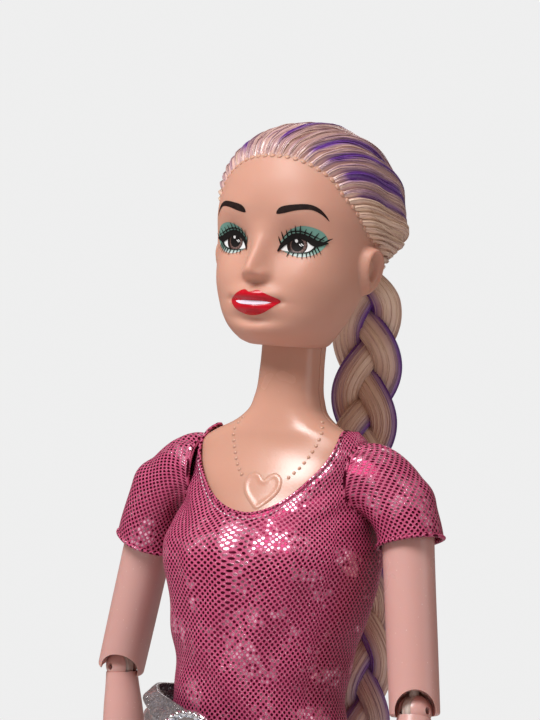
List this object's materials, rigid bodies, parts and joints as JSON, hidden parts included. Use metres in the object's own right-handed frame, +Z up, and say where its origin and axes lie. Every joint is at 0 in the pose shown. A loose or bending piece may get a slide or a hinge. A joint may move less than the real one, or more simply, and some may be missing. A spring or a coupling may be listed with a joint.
{
  "type": "jointed doll",
  "caption": "jointed fashion doll with a rooted swept back hairdo and long plait, dotted knit shirt, glitter sash with a brooch, trousers and shoes",
  "frame": {"origin": "the middle of the waist, halfway between the sides, where the trunk is narrowest", "axes": "+Z up through the head, -Y the way the doll faces, +X its own left side"},
  "size_m": [0.0814, 0.0522, 0.2946],
  "materials": {
    "vinyl": "soft matte skin vinyl with painted features",
    "shell_plastic": "hard satin skin plastic",
    "limb_plastic": "hard satin skin plastic, a little pinker",
    "link_plastic": "pale translucent link plastic",
    "steel": "plain turned steel",
    "hair": "glossy rooted fibre, pale blonde streaked with violet",
    "knit": "rose pink knit with small metallic dots",
    "glitter": "silver grey glitter fabric",
    "tape": "closing tape in the colour of the knit",
    "silver": "bright silver beads",
    "stone": "clear faceted stone with a silver back",
    "elastic": "dark elastic",
    "shoe_plastic": "glossy silver grey plastic"
  },
  "bodies": {
    "torso": {"torso_front": "shell_plastic", "torso_back": "shell_plastic", "hip_axle": "steel", "shirt_body": "knit", "shirt_tape": "tape", "waist_sash": "glitter", "brooch_frame": "silver", "brooch_stone": "stone", "trouser_seat": "glitter"},
    "neck": {"neck_post": "link_plastic", "plait": "hair", "plait_band": "elastic"},
    "head": {"head": "vinyl", "hair_cap": "hair"},
    "shoulder_link_left": {"shoulder_link_left": "link_plastic"},
    "upper_arm_left": {"upper_arm_left": "limb_plastic", "sleeve_left": "knit"},
    "elbow_disc_left": {"elbow_disc_left": "link_plastic"},
    "forearm_left": {"forearm_left": "limb_plastic", "elbow_pin_left": "steel"},
    "hand_left": {"hand_left": "limb_plastic"},
    "shoulder_link_right": {"shoulder_link_right": "link_plastic"},
    "upper_arm_right": {"upper_arm_right": "limb_plastic", "sleeve_right": "knit"},
    "elbow_disc_right": {"elbow_disc_right": "link_plastic"},
    "forearm_right": {"forearm_right": "limb_plastic", "elbow_pin_right": "steel"},
    "hand_right": {"hand_right": "limb_plastic"},
    "hip_ball_left": {"hip_ball_left": "link_plastic"},
    "thigh_left": {"thigh_left": "limb_plastic", "trouser_leg_left": "glitter"},
    "shin_left": {"shin_left": "limb_plastic", "knee_pin_left": "steel", "shoe_left": "shoe_plastic"},
    "hip_ball_right": {"hip_ball_right": "link_plastic"},
    "thigh_right": {"thigh_right": "limb_plastic", "trouser_leg_right": "glitter"},
    "shin_right": {"shin_right": "limb_plastic", "knee_pin_right": "steel", "shoe_right": "shoe_plastic"}
  },
  "joints": [
    {"name": "neck_turn", "type": "hinge", "parent": "torso", "child": "neck", "pos_m": [0, 0, 0.072], "axis": [0, 0, 1], "range_deg": [-75, 75], "deforming": ["plait", "plait_band"]},
    {"name": "head_nod", "type": "hinge", "parent": "neck", "child": "head", "pos_m": [0, 0, 0.072], "axis": [-1, 0, 0], "range_deg": [-6.5, 4.5]},
    {"name": "shoulder_swing_left", "type": "hinge", "parent": "torso", "child": "shoulder_link_left", "pos_m": [0.027, 0, 0.036], "axis": [-1, 0, 0], "range_deg": [-44, 116]},
    {"name": "shoulder_raise_left", "type": "hinge", "parent": "shoulder_link_left", "child": "upper_arm_left", "pos_m": [0.027, 0, 0.036], "axis": [0, -0.9976, 0.0698], "range_deg": [-5.5, 68.5], "deforming": ["sleeve_left"]},
    {"name": "elbow_turn_left", "type": "hinge", "parent": "upper_arm_left", "child": "elbow_disc_left", "pos_m": [0.03344, -0.00268, -0.00237], "axis": [-0.165, 0.0688, 0.9839], "range_deg": [-20, 100]},
    {"name": "elbow_bend_left", "type": "hinge", "parent": "elbow_disc_left", "child": "forearm_left", "pos_m": [0.03344, -0.00268, -0.00237], "axis": [-0.9527, 0.2471, -0.1771], "range_deg": [-12, 53]},
    {"name": "wrist_turn_left", "type": "hinge", "parent": "forearm_left", "child": "hand_left", "pos_m": [0.03788, -0.01368, -0.04162], "axis": [-0.1084, 0.2683, 0.9572], "range_deg": [-90, 90]},
    {"name": "shoulder_swing_right", "type": "hinge", "parent": "torso", "child": "shoulder_link_right", "pos_m": [-0.027, 0, 0.036], "axis": [-1, 0, 0], "range_deg": [-28, 132]},
    {"name": "shoulder_raise_right", "type": "hinge", "parent": "shoulder_link_right", "child": "upper_arm_right", "pos_m": [-0.027, 0, 0.036], "axis": [0, 0.9781, 0.2079], "range_deg": [-3, 63], "deforming": ["sleeve_right"]},
    {"name": "elbow_turn_right", "type": "hinge", "parent": "upper_arm_right", "child": "elbow_disc_right", "pos_m": [-0.03709, 0.00783, -0.00085], "axis": [-0.2588, 0.2008, -0.9448], "range_deg": [-11, 109]},
    {"name": "elbow_bend_right", "type": "hinge", "parent": "elbow_disc_right", "child": "forearm_right", "pos_m": [-0.03709, 0.00783, -0.00085], "axis": [-0.3145, -0.9424, -0.1142], "range_deg": [-22, 14]},
    {"name": "wrist_turn_right", "type": "hinge", "parent": "forearm_right", "child": "hand_right", "pos_m": [-0.03291, 0.01136, -0.04148], "axis": [0.1022, 0.086, -0.991], "range_deg": [-90, 90]},
    {"name": "hip_swing_left", "type": "hinge", "parent": "torso", "child": "hip_ball_left", "pos_m": [0.0105, 0, -0.032], "axis": [-1, 0, 0], "range_deg": [-15, 75]},
    {"name": "hip_spread_left", "type": "hinge", "parent": "hip_ball_left", "child": "thigh_left", "pos_m": [0.0105, 0, -0.032], "axis": [0, -1, 0], "range_deg": [0, 25]},
    {"name": "knee_bend_left", "type": "hinge", "parent": "thigh_left", "child": "shin_left", "pos_m": [0.0105, 0, -0.103], "axis": [1, 0, 0], "range_deg": [0, 85], "deforming": ["trouser_leg_left"]},
    {"name": "hip_swing_right", "type": "hinge", "parent": "torso", "child": "hip_ball_right", "pos_m": [-0.0105, 0, -0.032], "axis": [-1, 0, 0], "range_deg": [-15, 75]},
    {"name": "hip_spread_right", "type": "hinge", "parent": "hip_ball_right", "child": "thigh_right", "pos_m": [-0.0105, 0, -0.032], "axis": [0, 1, 0], "range_deg": [0, 25]},
    {"name": "knee_bend_right", "type": "hinge", "parent": "thigh_right", "child": "shin_right", "pos_m": [-0.0105, 0, -0.103], "axis": [1, 0, 0], "range_deg": [0, 85], "deforming": ["trouser_leg_right"]}
  ]
}
